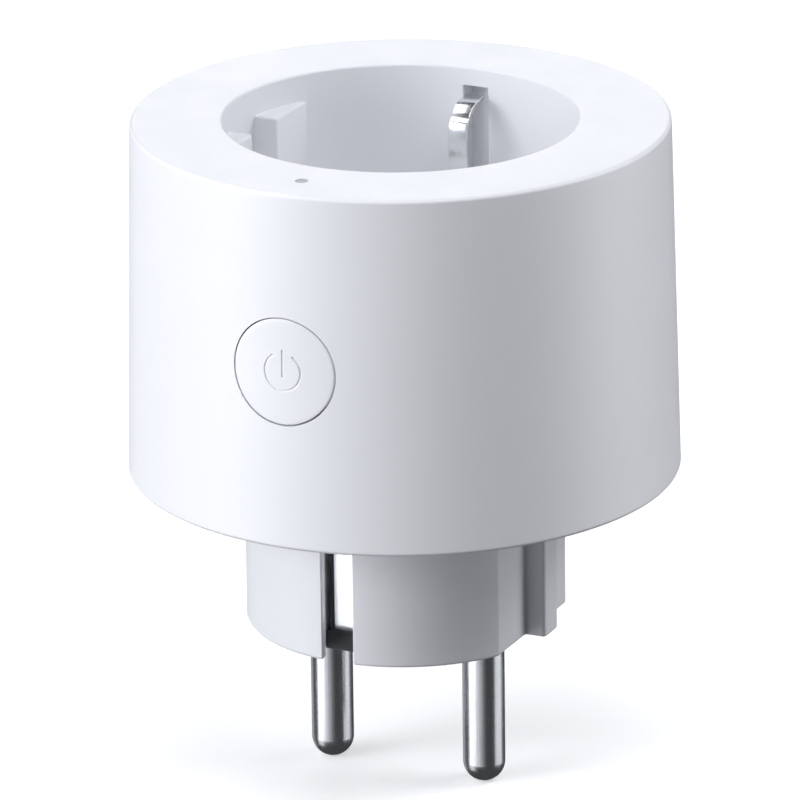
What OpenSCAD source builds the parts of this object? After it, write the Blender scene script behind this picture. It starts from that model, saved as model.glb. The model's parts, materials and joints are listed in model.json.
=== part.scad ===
// Smart plug: a round socket outlet on top of a plug, with a relay and a radio between them.
// Origin: centre of the plug's flat engagement face. Pins point down (-Z) and lie on the X axis.
// The push button faces -Y, and the earth contacts lie on the Y axis.

/* [Body] */
// Diameter of the housing at its rim
body_top_d = 60; // [58:0.5:62]
// Diameter of the housing at its underside
body_bottom_d = 62; // [60:0.5:64]
// Height of the housing, from its underside to the rim
body_h = 40.4; // [40:0.2:44]
// Thickness of the outer wall
wall = 1.8; // [1.6:0.1:2]
// Radius that softens the outer edges
edge_r = 0.45; // [0.2:0.05:0.6]

/* [Socket well] */
// Diameter of the socket well
well_d = 39.6; // [39:0.1:40]
// Depth of the socket well below the rim
well_depth = 17.5; // [17:0.1:18]
// Distance between the flat faces of the two pairs of guide ribs
rib_gap_x = 33.6; // [33:0.1:34]
// Gap between the two ribs of a pair
rib_gap_y = 6.1; // [5.6:0.1:6.6]
// Depth of the ribs' top below the rim
rib_drop = 3.2; // [2.5:0.1:4]
// Diameter of a pin aperture in the floor of the well
aperture_d = 5.8; // [5.4:0.1:6]

/* [Plug] */
// Diameter of the plug
plug_d = 36.1; // [35.5:0.1:36.5]
// Height of the plug below the housing
plug_h = 18; // [17.5:0.1:18.5]
// Distance between the flats on the plug's sides
flats_x = 31.3; // [31:0.1:32]
// Width of the rib in the middle of each flat
flat_rib_w = 3.5; // [3:0.1:4]
// Distance between the pins' axes
pin_gap = 19; // [18.9:0.1:19.1]
// Diameter of a pin
pin_d = 4.8; // [4.7:0.05:4.85]
// Length of a pin below the engagement face
pin_len = 19; // [18.5:0.1:19.5]

/* [Earth contacts] */
// Width of the slot that shows the plug's earth contact
slot_w = 3.8; // [3.4:0.1:4.2]
// Distance between the outer faces of the plug's two earth contacts
strap_gap_y = 29.2; // [28.8:0.1:29.6]
// Width of the socket's earth clip
clip_w = 2.2; // [2:0.1:2.4]
// Width of the plug's earth contact strip
strap_w = 3.9; // [3.6:0.1:4]
// Distance between the two earth clips at their narrowest
clip_gap_y = 29.2; // [28.8:0.1:29.6]

/* [Button and light] */
// Diameter of the button cap
button_d = 12; // [11:0.5:13]
// Height of the button's centre above the underside of the housing
button_up = 20.3; // [19:0.1:21]
// Gap round the button cap
button_slit = 0.15; // [0.1:0.05:0.2]
// How far the button cap travels
button_travel = 0.35; // [0.2:0.05:0.4]
// Diameter of the light guide in the rim
light_d = 1.4; // [1.2:0.1:1.6]
// Distance of the light guide from the main axis
light_r = 24.95; // [24.8:0.05:25.2]

/* [Shutter] */
// Angle that the shutter turns to open both apertures
shutter_turn = 30; // [28:1:32]

/* [Hidden] */
$fn = 96;
cut = 0.5;

// Levels along the main axis
body_z = plug_h;
rim_z = body_z + body_h;
rim_t = 2;
floor_z = rim_z - well_depth;
floor_t = 1.6;
floor_under = floor_z - floor_t;
flange_t = 2.4;
flange_top = body_z + flange_t;
board_z = 21.4;
board_t = 1.4;
board_top = board_z + board_t;
shutter_t = 1.7;
carrier_top = floor_under - shutter_t - 0.4;
carrier_t = 1.4;

// Radii of the housing and the well
top_r = body_top_d / 2;
bottom_r = body_bottom_d / 2;
well_r = well_d / 2;
well_wall = 1.4;
plug_r = plug_d / 2;
pin_r = pin_d / 2;
root_r = 1.8;
pin_recess = 0.3;
pin_head_z = 13;
flange_r = bottom_r - wall - 0.15;
hollow_r = 11.5;

// Slot of the plug's earth contact: lips outside, a wider channel behind them
lip_t = 1.1;
slot_inner_w = 6.4;
slot_back_y = 12.35;
holder_w = 5.1;
holder_face_y = strap_gap_y / 2 - 0.3;
strap_t = 0.6;
strap_low = 2.3;

// Clip channel in the wall of the well
channel_w = 3;
channel_back = 22.2;
channel_top = rim_z - 2.1;
channel_wall = 0.8;
clip_t = 0.5;

// Screw bosses of the cover and of the contact carrier
boss_r = 3;
boss_ring = 26.3;
screw_angles = [45, 135, 225, 315];
screw_core = 1.25;
ear_ring = 17.2;
ear_angles = [40, 220];
ear_core = 0.95;

// Button stack, along -Y
button_z = body_z + button_up;
button_r = button_d / 2;
pad_y = 27.4;
pad_r = 8.2;
cap_flange_r = 7.2;
cap_flange_t = 0.6;
cap_boss_y = 26.42;
logic_y = 24.4;
logic_t = 1;
tact_size = 5.2;
tact_h = 1.5;

function body_r(z) = bottom_r + (top_r - bottom_r) * (z - body_z) / body_h;
function arc(cx, cy, r, from, to, n) =
    [for (i = [0:n]) let (a = from + (to - from) * i / n) [cx + r * cos(a), cy + r * sin(a)]];

// A disc, a ring, a block and a bar, all by their end levels
module disc(r, z0, z1) translate([0, 0, z0]) cylinder(r = r, h = z1 - z0);

module ring(r_out, r_in, z0, z1) {
    difference() {
        disc(r_out, z0, z1);
        disc(r_in, z0 - cut, z1 + cut);
    }
}

module block(x0, x1, y0, y1, z0, z1) {
    translate([x0, y0, z0]) cube([x1 - x0, y1 - y0, z1 - z0]);
}

// A round bar along +Y between two values of y
module bar_y(r, y0, y1, x = 0, z = 0) {
    translate([x, y0, z]) rotate([-90, 0, 0]) cylinder(r = r, h = y1 - y0);
}

module at_pins() {
    for (side = [-1, 1]) translate([side * pin_gap / 2, 0, 0]) children();
}

// The same shape on the rear (+Y) and the front (-Y)
module rear_and_front() {
    for (turn = [0, 180]) rotate([0, 0, turn]) children();
}

module at_ring(r, angles) {
    for (a = angles) rotate([0, 0, a]) translate([r, 0, 0]) children();
}

// A strip bent in the YZ plane: outline points are [y, z], its width lies along X
module bent_strip(width, outline) {
    translate([-width / 2, 0, 0])
        rotate([90, 0, 90]) linear_extrude(width) polygon(outline);
}

// ---------- Housing ----------

// Half section of the housing: outer wall, rim, well wall and well floor
module shell_section() {
    slope = atan((bottom_r - top_r) / body_h);
    polygon(concat(
        [[bottom_r - wall, body_z]],
        arc(bottom_r - edge_r, body_z + edge_r, edge_r, -90, slope, 4),
        arc(top_r - edge_r, rim_z - edge_r, edge_r, slope, 90, 4),
        [
            [well_r + 0.2, rim_z], [well_r, rim_z - 0.2],
            [well_r, floor_z], [0, floor_z], [0, floor_under],
            [well_r + well_wall, floor_under], [well_r + well_wall, rim_z - rim_t],
            [top_r - wall, rim_z - rim_t]
        ]
    ));
}

module guide_ribs() {
    intersection() {
        disc(well_r + well_wall / 2, floor_z - 0.2, rim_z - rib_drop);
        for (sx = [-1, 1], sy = [-1, 1]) scale([sx, sy, 1])
            block(rib_gap_x / 2, well_r + 1, rib_gap_y / 2, well_r, floor_z - 0.3, rim_z);
    }
}

module clip_channel_walls() {
    rear_and_front()
        block(-channel_w / 2 - 1, channel_w / 2 + 1, well_r + 0.6, channel_back + channel_wall,
            floor_under, channel_top + 1);
}

module clip_channel_cut() {
    rear_and_front()
        block(-channel_w / 2, channel_w / 2, 17.2, channel_back, floor_under - cut, channel_top);
}

module outer_shell() {
    color("white") difference() {
        union() {
            rotate_extrude() shell_section();
            guide_ribs();
            clip_channel_walls();
            // flat seat for the button's flange
            intersection() {
                bar_y(pad_r, -bottom_r, -pad_y, 0, button_z);
                disc(top_r - wall / 2, body_z, rim_z);
            }
            // bosses for the cover's screws
            at_ring(boss_ring, screw_angles) disc(boss_r, flange_top + 0.05, rim_z - rim_t / 2);
            // bosses for the contact carrier's screws
            at_ring(ear_ring, ear_angles) disc(2.3, carrier_top, floor_under + 0.2);
        }
        clip_channel_cut();
        at_pins() disc(aperture_d / 2, floor_under - cut, floor_z + cut);
        at_pins() translate([0, 0, floor_z - 0.3])
            cylinder(r1 = aperture_d / 2, r2 = aperture_d / 2 + 0.6, h = 0.6);
        bar_y(button_r + button_slit, -bottom_r - cut, -pad_y + cut, 0, button_z);
        translate([0, -light_r, 0]) disc(light_d / 2 + 0.03, rim_z - 3, rim_z + cut);
        at_ring(boss_ring, screw_angles) disc(screw_core, flange_top - cut, flange_top + 11);
        at_ring(ear_ring, ear_angles) disc(ear_core, carrier_top - cut, floor_z - 0.6);
    }
}

// Half section of the plug and the flange that closes the housing
module cover_section() {
    polygon(concat(
        [[0, 0]],
        arc(plug_r - edge_r, edge_r, edge_r, -90, 0, 4),
        [
            [plug_r, body_z], [flange_r, body_z], [flange_r, flange_top],
            [hollow_r, flange_top], [hollow_r, 3], [0, 3]
        ]
    ));
}

module base_cover() {
    color("whitesmoke") difference() {
        union() {
            rotate_extrude() cover_section();
            ring(28.4, 27.4, flange_top - 0.2, flange_top + 1.2);
            at_pins() disc(5, 2.5, pin_head_z);
            // posts that carry the main board
            at_ring(24, [15, 165, 205, 335]) disc(2, flange_top - 0.2, board_z);
        }
        // flats with a rib in the middle
        for (sx = [-1, 1], sy = [-1, 1]) scale([sx, sy, 1])
            block(flats_x / 2, plug_r + 1, flat_rib_w / 2, plug_r, -cut, body_z);
        // slots over the earth contacts, and the way up for the contacts
        rear_and_front() {
            block(-slot_w / 2, slot_w / 2, plug_r - lip_t - 1, plug_r + 1, -cut, body_z);
            block(-slot_inner_w / 2, slot_inner_w / 2, slot_back_y, plug_r - lip_t, -cut, body_z);
            block(-strap_w / 2 - 0.05, strap_w / 2 + 0.05, strap_gap_y / 2 - strap_t - 0.05,
                strap_gap_y / 2 + 0.1, body_z - cut, flange_top + cut);
        }
        at_pins() disc(root_r + 0.02, -cut, 20);
        at_pins() disc(5, pin_head_z, flange_top + cut);
        at_pins() disc(pin_r + 0.25, -cut, pin_recess);
        at_ring(boss_ring, screw_angles) {
            disc(2.5, body_z - cut, body_z + 1.2);
            disc(1.55, body_z, flange_top + 2);
        }
        at_ring(boss_ring, screw_angles) disc(boss_r + 0.15, flange_top + 0.02, flange_top + 3);
        // clear of the upright board
        block(-12.4, 12.4, -logic_y - 0.2, -logic_y + logic_t + 0.2, flange_top + 0.02, 30);
    }
}

module cover_screws() {
    color("silver") at_ring(boss_ring, screw_angles) difference() {
        union() {
            disc(2.3, body_z + 0.1, body_z + 1.2);
            disc(screw_core - 0.02, body_z + 1.1, flange_top + 9);
        }
        block(-1.5, 1.5, -0.3, 0.3, body_z, body_z + 0.7);
        block(-0.3, 0.3, -1.5, 1.5, body_z, body_z + 0.7);
    }
}

// ---------- Button and light guide ----------

module power_symbol() {
    symbol_r = 2.15;
    line = 0.22;
    depth = body_r(button_z) - 0.15;
    translate([0, 0, button_z]) {
        difference() {
            bar_y(symbol_r + line / 2, -bottom_r, -depth);
            bar_y(symbol_r - line / 2, -bottom_r - cut, -depth + cut);
            // opening of the ring, 35 degrees each side of the top
            translate([0, -depth + cut, 0]) rotate([90, 0, 0]) linear_extrude(3)
                polygon([[0, 0], [-3.5, 5], [3.5, 5]]);
        }
        block(-line / 2, line / 2, -bottom_r, -depth, -0.5, 2.4);
    }
}

module button_cap() {
    color("white") difference() {
        union() {
            intersection() {
                bar_y(button_r, -bottom_r, -pad_y + 0.4, 0, button_z);
                disc_cone(body_z, rim_z);
            }
            bar_y(cap_flange_r, -pad_y + 0.1, -pad_y + 0.1 + cap_flange_t, 0, button_z);
            bar_y(1.6, -pad_y + 0.5, -cap_boss_y, 0, button_z);
        }
        power_symbol();
        // hollow back, leaving a rim and the central boss
        difference() {
            bar_y(4.6, -28.9, -pad_y + 2, 0, button_z);
            bar_y(1.6, -29.5, -cap_boss_y, 0, button_z);
        }
    }
}

// The housing's outer cone between two levels
module disc_cone(z0, z1) {
    translate([0, 0, z0]) cylinder(r1 = body_r(z0), r2 = body_r(z1), h = z1 - z0);
}

module light_guide() {
    color("gainsboro") translate([0, -light_r, 0]) {
        disc(light_d / 2, 51.8, rim_z - 0.05);
        disc(light_d / 2 + 0.5, 53.2, 54);
    }
}

// ---------- Pins and earth path ----------

// A pin with a round tip. Its root inside the plug is slimmer, with a head and a solder tail.
module plug_pin() {
    disc(pin_r, pin_r - pin_len, 0);
    translate([0, 0, pin_r - pin_len]) sphere(r = pin_r);
    disc(root_r, -0.1, pin_head_z);
    disc(3.4, pin_head_z, pin_head_z + 1.4);
    disc(1.1, pin_head_z + 1, board_top + 0.8);
}

module live_pin() { color("silver") translate([-pin_gap / 2, 0, 0]) plug_pin(); }
module neutral_pin() { color("silver") translate([pin_gap / 2, 0, 0]) plug_pin(); }

// Earth contact in the plug's slot, on the rear side: its lower end bends inwards
module earth_strap() {
    face = strap_gap_y / 2;
    bend = 1.1;
    bent_strip(strap_w, concat(
        [[face - strap_t, flange_top + 0.04], [face, flange_top + 0.04]],
        arc(face - bend, strap_low + bend, bend, 0, -90, 6),
        arc(face - bend, strap_low + bend, bend - strap_t, -90, 0, 6)
    ));
}

// Insulating holder behind the strap, on the rear side, with a foot that closes the slot's end
module strap_holder() {
    gap = 0.03;
    back = slot_back_y + gap;
    difference() {
        union() {
            block(-holder_w / 2, holder_w / 2, back, holder_face_y, 0.05, body_z - gap);
            block(-slot_inner_w / 2 + gap, slot_inner_w / 2 - gap, back, holder_face_y,
                0.05, strap_low - 0.1);
        }
        block(-strap_w / 2 - gap, strap_w / 2 + gap, strap_gap_y / 2 - strap_t - gap,
            holder_face_y + 1, strap_low - gap, body_z + cut);
        block(-strap_w / 2 - gap, strap_w / 2 + gap, strap_gap_y / 2 - 1.8, holder_face_y,
            strap_low - gap, strap_low + 2);
    }
}

module rear_strap_holder() { color("dimgray") strap_holder(); }
module front_strap_holder() { color("dimgray") rotate([0, 0, 180]) strap_holder(); }

module rear_earth_strap() { color("lightgray") earth_strap(); }
module front_earth_strap() { color("lightgray") rotate([0, 0, 180]) earth_strap(); }

// Strip that joins the two straps and rises on both sides to the socket's clips
module earth_bridge() {
    foot_y = 19.15;
    low = flange_top + 0.05;
    t = 0.6;
    foot_top = floor_under - 0.7;
    color("darkgoldenrod") difference() {
        union() {
            block(-2.4, 2.4, -foot_y - t, foot_y + t, low, low + t);
            rear_and_front() block(-1.4, 1.4, foot_y, foot_y + t, low, foot_top);
        }
        bar_y(0.8, -25, 25, 0, foot_top - 1.8);
    }
}

module earth_rivets() {
    rivet_z = floor_under - 0.7 - 1.8;
    color("silver") rear_and_front() {
        bar_y(0.78, 18.2, 20.1, 0, rivet_z);
        bar_y(1.3, 19.78, 20.2, 0, rivet_z);
        bar_y(1.3, 18.1, 18.5, 0, rivet_z);
    }
}

// Spring leaf of the socket's earth clip, on the rear side. It bows into the well, has a bead where a
// plug's strap slides past, and ends in a hook above it
module earth_clip() {
    face = clip_gap_y / 2;
    bow_r = 16;
    bow_z = floor_z + 10.5;
    lean = 27;
    low_y = face + bow_r - bow_r * cos(lean);
    low_z = bow_z - bow_r * sin(lean);
    drop = low_z - floor_under + 0.3;
    foot = [low_y + drop * tan(lean) + clip_t / 2 / cos(lean), low_z - drop];
    bead_r = 5;
    bead_end = 155;
    bead = [face + bead_r, bow_z];
    hook_r = 3.1;
    hook_start = 150;
    hook = [face + 3.55, bow_z + 0.75];
    tail = 5;
    tail_len = 1.7;
    tip = [-sin(tail), cos(tail)];
    along = [cos(tail), sin(tail)];
    bent_strip(clip_w, concat(
        [[low_y + drop * tan(lean), low_z - drop]],
        arc(face + bow_r, bow_z, bow_r, 180 + lean, 180, 12),
        arc(bead[0], bead[1], bead_r, 180, bead_end, 8),
        arc(hook[0], hook[1], hook_r, hook_start, 90 + tail, 10),
        [hook + hook_r * tip + tail_len * along, hook + (hook_r - clip_t) * tip + tail_len * along],
        arc(hook[0], hook[1], hook_r - clip_t, 90 + tail, hook_start, 10),
        arc(bead[0], bead[1], bead_r - clip_t, bead_end, 180, 8),
        arc(face + bow_r, bow_z, bow_r - clip_t, 180, 180 + lean, 12),
        [[low_y + drop * tan(lean) + clip_t / cos(lean), low_z - drop]]
    ));
    // rounded foot that the leaf turns on
    translate([-clip_w / 2, foot[0], foot[1]]) rotate([0, 90, 0])
        cylinder(r = clip_t / 2, h = clip_w);
}

module rear_earth_clip() { color("silver") earth_clip(); }
module front_earth_clip() { color("silver") rotate([0, 0, 180]) earth_clip(); }

// ---------- Socket contacts and shutter ----------

contact_low = 25.6;

module contact_carrier() {
    tower_r = 5.2;
    tower_hole = 3.9;
    ear_r = 2.6;
    color("dimgray") difference() {
        union() {
            disc(14.5, carrier_top - carrier_t, carrier_top - 0.02);
            at_pins() disc(tower_r, contact_low - 0.4, carrier_top - carrier_t + 0.1);
            for (a = ear_angles) rotate([0, 0, a])
                block(12, ear_ring, -ear_r, ear_r, carrier_top - carrier_t, carrier_top - 0.02);
            at_ring(ear_ring, ear_angles) disc(ear_r, carrier_top - carrier_t, carrier_top - 0.02);
            disc(2, carrier_top - 0.1, floor_under - 0.02);
        }
        at_pins() disc(tower_hole, contact_low - cut, carrier_top - carrier_t);
        at_pins() disc(2.9, carrier_top - carrier_t - cut, carrier_top + cut);
        at_ring(ear_ring, ear_angles) disc(1.15, carrier_top - 3, carrier_top + cut);
        // way out for the busbars at the foot of each tower
        rear_and_front() rotate([0, 0, 180]) for (side = [-1, 1])
            block(side * pin_gap / 2 - 2.1, side * pin_gap / 2 + 2.1, 0, 7,
                contact_low - cut, contact_low + 1.2);
    }
}

module carrier_screws() {
    head_z = carrier_top - carrier_t - 1.3;
    color("silver") at_ring(ear_ring, ear_angles) difference() {
        union() {
            disc(2, head_z, head_z + 1.3);
            disc(ear_core - 0.02, head_z + 1.2, floor_under + 0.6);
        }
        block(-1.3, 1.3, -0.25, 0.25, head_z - cut, head_z + 0.6);
        block(-0.25, 0.25, -1.3, 1.3, head_z - cut, head_z + 0.6);
    }
}

// Sleeve with four spring fingers that grips a plug's pin
module socket_contact() {
    top = carrier_top - carrier_t - 0.5;
    difference() {
        disc(3, contact_low, top);
        disc(2.42, contact_low + 0.7, top + cut);
        block(-0.4, 0.4, -4, 4, contact_low + 3, top + cut);
        block(-4, 4, -0.4, 0.4, contact_low + 3, top + cut);
    }
}

module live_contact() { color("goldenrod") translate([-pin_gap / 2, 0, 0]) socket_contact(); }
module neutral_contact() { color("goldenrod") translate([pin_gap / 2, 0, 0]) socket_contact(); }

// Split steel rings that press the fingers together
module contact_rings() {
    color("silver") at_pins() difference() {
        ring(3.6, 3.02, 32.6, 33.8);
        block(0, 5, -0.7, 0.7, 32, 34);
    }
}

// Strip from the foot of a socket contact down to the main board
module busbar(side, leg_y) {
    x = side * pin_gap / 2;
    t = 0.7;
    dir = sign(leg_y);
    far = abs(leg_y);
    translate([x, 0, 0]) scale([1, dir, 1]) {
        block(-2, 2, -2, far, contact_low - t - 0.02, contact_low - 0.02);
        block(-2, 2, far - t, far, board_top + 0.02, contact_low - 0.02);
    }
}

module live_busbar() { color("peru") busbar(-1, -8); }
module neutral_busbar() { color("peru") busbar(1, 8); }

// Rotary shutter that covers both apertures until two pins turn it
module shutter() {
    hub_r = 4.6;
    blade_w = 9;
    reach = 13.6;
    color("gold") difference() {
        union() {
            intersection() {
                disc(reach, carrier_top + 0.1, floor_under - 0.3);
                union() {
                    block(-20, 20, -blade_w / 2, blade_w / 2, carrier_top, floor_under);
                    rotate([0, 0, -shutter_turn])
                        block(-20, 20, -blade_w / 2, blade_w / 2, carrier_top, floor_under);
                }
            }
            disc(hub_r, carrier_top + 0.1, floor_under - 0.3);
        }
        disc(2.06, carrier_top, floor_under);
        disc(3.7, carrier_top + 0.9, floor_under);
        // clear holes that line up with the apertures when the shutter has turned
        rotate([0, 0, -shutter_turn]) at_pins() disc(2.9, carrier_top, floor_under);
        // ramps that the two pins slide down
        at_pins() translate([0, 0, floor_under - 0.1]) rotate([18, 0, 0])
            translate([-2.6, -3.4, -0.4]) cube([5.2, 6.8, 2]);
    }
}

module shutter_spring() {
    wire = 0.25;
    color("silver") {
        for (z = [carrier_top + 1.2, carrier_top + 1.75]) difference() {
            translate([0, 0, z]) rotate_extrude() translate([2.8, 0]) circle(r = wire, $fn = 24);
            rotate([0, 0, 35]) block(0, 4, -1, 1, z - 1, z + 1);
        }
    }
}

// ---------- Main board and its parts ----------

// Outline shared by the main board and the sheet under it
module board_cuts(z0, z1) {
    at_ring(boss_ring, screw_angles) disc(boss_r + 0.4, z0, z1);
    block(-30, 30, -40, -logic_y + logic_t + 0.4, z0, z1);
    rear_and_front() block(-2.2, 2.2, 18.2, 20.6, z0, z1);
}

module main_board() {
    color("darkgreen") difference() {
        disc(27, board_z, board_top);
        board_cuts(board_z - cut, board_top + cut);
        at_pins() disc(1.3, board_z - cut, board_top + cut);
    }
}

module insulation_sheet() {
    color("beige") difference() {
        disc(26.5, board_z - 0.25, board_z - 0.05);
        board_cuts(board_z - 1, board_z + cut);
        at_pins() disc(3, board_z - 1, board_z + cut);
        at_ring(24, [15, 165, 205, 335]) disc(2.2, board_z - 1, board_z + cut);
        for (leg = [-1, 1]) block(leg * pin_gap / 2 - 2.2, leg * pin_gap / 2 + 2.2,
            leg * 8 - 1, leg * 8 + 1, board_z - 1, board_z + cut);
    }
}

relay_l = 17.8;
relay_w = 10.1;
relay_h = 12.4;
relay_x = -8.4;
relay_y = 8.9;

module in_relay() {
    translate([relay_x, relay_y, board_top]) children();
}

module relay_base() {
    color("darkslategray") in_relay() {
        block(0.7, relay_l - 0.7, 0.7, relay_w - 0.7, 0.05, 1.3);
        for (x = [2, 5, 12.2, 15.4], y = [2, 8.1]) block(x, x + 0.8, y - 0.2, y + 0.2, 0, 0.2);
    }
}

module relay_cover() {
    color("steelblue") in_relay() difference() {
        block(0, relay_l, 0, relay_w, 0.05, relay_h);
        block(0.6, relay_l - 0.6, 0.6, relay_w - 0.6, -cut, relay_h - 0.6);
    }
}

module relay_coil() {
    color("chocolate") in_relay() translate([6.4, relay_w / 2, 0]) {
        disc(3.7, 1.9, 2.4);
        disc(3.3, 2.4, 7.8);
        disc(3.7, 7.8, 8.3);
        disc(1.3, 8.3, 8.9);
    }
}

module relay_yoke() {
    color("slategray") in_relay() {
        block(1.2, 2.1, 2, relay_w - 2, 1.35, 8.8);
        block(1.2, 10.2, 2, relay_w - 2, 1.35, 1.85);
    }
}

armature_open = 5;

// Armature plate and its contact spring, lifted off the coil's core at rest
module relay_armature() {
    color("silver") in_relay() translate([1.65, 0, 9]) rotate([0, -armature_open, 0]) {
        bar_y(0.14, 2, relay_w - 2);
        block(0, 8.6, 2, relay_w - 2, 0, 0.8);
        block(7.2, 13.4, 3.4, relay_w - 3.4, 0.8, 1.05);
        translate([12.4, relay_w / 2, 0]) disc(0.8, 0.2, 0.85);
    }
}

module relay_contacts() {
    color("goldenrod") in_relay() {
        block(12.8, 15.6, 3.2, relay_w - 3.2, 8.2, 8.7);
        block(15, 15.6, 3.2, relay_w - 3.2, 1.35, 8.3);
        translate([14, relay_w / 2, 0]) disc(0.8, 8.6, 9.05);
    }
}

// A wound capacitor can, standing on the board, with a pressed groove
module capacitor_can(x, y, r, h) {
    translate([x, y, board_top]) difference() {
        union() {
            disc(r, 0.3, h);
            for (leg = [-1, 1]) translate([leg * r / 2, 0, 0]) disc(0.3, 0, 0.4);
        }
        ring(r + 1, r - 0.35, 1.4, 2);
        for (turn = [0, 60, 120]) rotate([0, 0, turn])
            block(-r * 0.7, r * 0.7, -0.15, 0.15, h - 0.2, h + cut);
    }
}

module bulk_capacitors() {
    color("midnightblue") {
        capacitor_can(-18.6, -8.6, 4, 11.4);
        capacitor_can(-8.2, -13.6, 3.2, 11);
        capacitor_can(19.3, 6.4, 3.2, 11);
    }
}

module film_capacitor() {
    color("khaki") {
        block(3.2, 16.2, -16.6, -11, board_top + 0.3, board_top + 11);
        for (x = [4.7, 14.7]) block(x - 0.3, x + 0.3, -14.1, -13.5, board_top, board_top + 0.4);
    }
}

module varistor() {
    color("royalblue") translate([21, -3.2, board_top + 6.6]) rotate([0, 90, 0])
        translate([0, 0, -1.9]) cylinder(r = 5, h = 3.8);
    color("silver") for (y = [-5.7, -0.7])
        translate([21, y, 0]) disc(0.35, board_top, board_top + 3);
}

module power_inductor() {
    color("dimgray") translate([-20.4, 4.4, board_top]) {
        disc(4, 0.3, 1.6);
        disc(3.3, 1.6, 6.6);
        disc(4, 6.6, 7.9);
    }
}

module fuse_resistor() {
    color("olivedrab") translate([-1, -9.4, board_top + 2.2]) rotate([0, 0, -20])
        bar_y(1.5, -3.6, 3.6);
    color("silver") translate([-1, -9.4, board_top + 2.2]) rotate([0, 0, -20]) {
        for (side = [-1, 1]) {
            bar_y(0.3, side * 4 - 0.6, side * 4 + 0.6);
            translate([0, side * 4.5, 0]) disc(0.3, -2.2, 0.3);
        }
    }
}

// A flat moulded chip with legs along its two long sides
module chip(x, y, lx, ly, h, legs, pitch) {
    translate([x, y, board_top]) {
        block(-lx / 2, lx / 2, -ly / 2, ly / 2, 0.15, h);
        for (i = [0:legs - 1], side = [-1, 1]) {
            leg_x = (i - (legs - 1) / 2) * pitch;
            scale([1, side, 1]) {
                block(leg_x - 0.2, leg_x + 0.2, ly / 2 - 0.1, ly / 2 + 0.5, h / 2 - 0.1, h / 2 + 0.1);
                block(leg_x - 0.2, leg_x + 0.2, ly / 2 + 0.35, ly / 2 + 0.55, 0, h / 2 + 0.1);
            }
        }
    }
}

module bridge_rectifier() { color("black") chip(11.2, -20.2, 6.2, 2.6, 2.2, 2, 3.4); }
module converter_chip() { color("black") chip(-11.6, -20, 5, 3.9, 1.6, 4, 1.27); }
module metering_chip() { color("black") chip(14.2, 13.2, 5, 3.9, 1.6, 4, 1.27); }

module current_shunt() {
    color("peru") translate([-13.4, 12.2, board_top]) {
        block(-3.2, 3.2, -1.5, 1.5, 1.2, 1.7);
        for (x = [-3.2, 2.6]) block(x, x + 0.6, -1.5, 1.5, 0, 1.3);
    }
}

module thermal_cutoff() {
    color("ivory") translate([0, 0, board_top + 2]) {
        block(-2.6, 2.6, 1.6, 5.4, 0, 2.4);
        for (x = [-1.6, 1.6]) translate([x, 3.5, 0]) disc(0.3, -2, 0.1);
    }
}

// ---------- Upright logic board ----------

logic_low = 21;
logic_high = 51;

module logic_board() {
    color("darkgreen") difference() {
        block(-12, 12, -logic_y, -logic_y + logic_t, logic_low, logic_high);
        for (sx = [-1, 1]) translate([sx * 12, 0, logic_high])
            rotate([0, 45, 0]) block(-3, 3, -30, 0, -3, 3);
    }
}

module board_header() {
    pitch = 2.54;
    color("gold") for (i = [-2.5:2.5]) translate([i * pitch, 0, 0]) {
        block(-0.3, 0.3, -logic_y + logic_t, -21.2, board_top + 2, board_top + 2.6);
        block(-0.3, 0.3, -21.8, -21.2, board_top, board_top + 2.6);
    }
    color("black") block(-7.6, 7.6, -logic_y + logic_t + 0.02, -21.9, board_top + 0.05, board_top + 1.9);
}

module radio_module() {
    color("midnightblue")
        block(-8, 8, -logic_y + logic_t + 0.02, -logic_y + logic_t + 0.8, 26.4, 38.6);
}

module radio_shield() {
    color("silver") difference() {
        block(-5.8, 5.8, -22.58, -21, 27.2, 36.2);
        block(-5.6, 5.6, -22.8, -21.2, 27.4, 36);
    }
}

module tact_switch() {
    body_front = logic_y + tact_h;
    color("dimgray") translate([0, 0, button_z]) difference() {
        union() {
            block(-tact_size / 2, tact_size / 2, -body_front, -logic_y - 0.02,
                -tact_size / 2, tact_size / 2);
            for (sx = [-1, 1], sz = [-1, 1])
                block(sx * 2.9 - 0.5, sx * 2.9 + 0.5, -logic_y - 0.4, -logic_y - 0.02,
                    sz * 1.9 - 0.35, sz * 1.9 + 0.35);
        }
        bar_y(1.3, -body_front - cut, -body_front + 1.1);
    }
}

module tact_plunger() {
    color("sienna")
        bar_y(1.22, -cap_boss_y + 0.03, -logic_y - tact_h + 0.6, 0, button_z);
}

module status_led() {
    color("lemonchiffon")
        block(-0.8, 0.8, -logic_y - 1.1, -logic_y - 0.02, 50.2, 51.4);
}

outer_shell();
base_cover();
button_cap();
light_guide();
live_pin();
neutral_pin();
front_earth_strap();
rear_earth_strap();
front_strap_holder();
rear_strap_holder();
earth_bridge();
earth_rivets();
front_earth_clip();
rear_earth_clip();
contact_carrier();
live_contact();
neutral_contact();
contact_rings();
live_busbar();
neutral_busbar();
shutter();
shutter_spring();
main_board();
insulation_sheet();
relay_base();
relay_cover();
relay_coil();
relay_yoke();
relay_armature();
relay_contacts();
bulk_capacitors();
film_capacitor();
varistor();
power_inductor();
fuse_resistor();
bridge_rectifier();
current_shunt();
converter_chip();
metering_chip();
thermal_cutoff();
logic_board();
board_header();
radio_module();
radio_shield();
tact_switch();
tact_plunger();
status_led();
cover_screws();
carrier_screws();
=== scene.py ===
import bpy
import bmesh
import json
import math
from mathutils import Matrix, Vector


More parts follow.
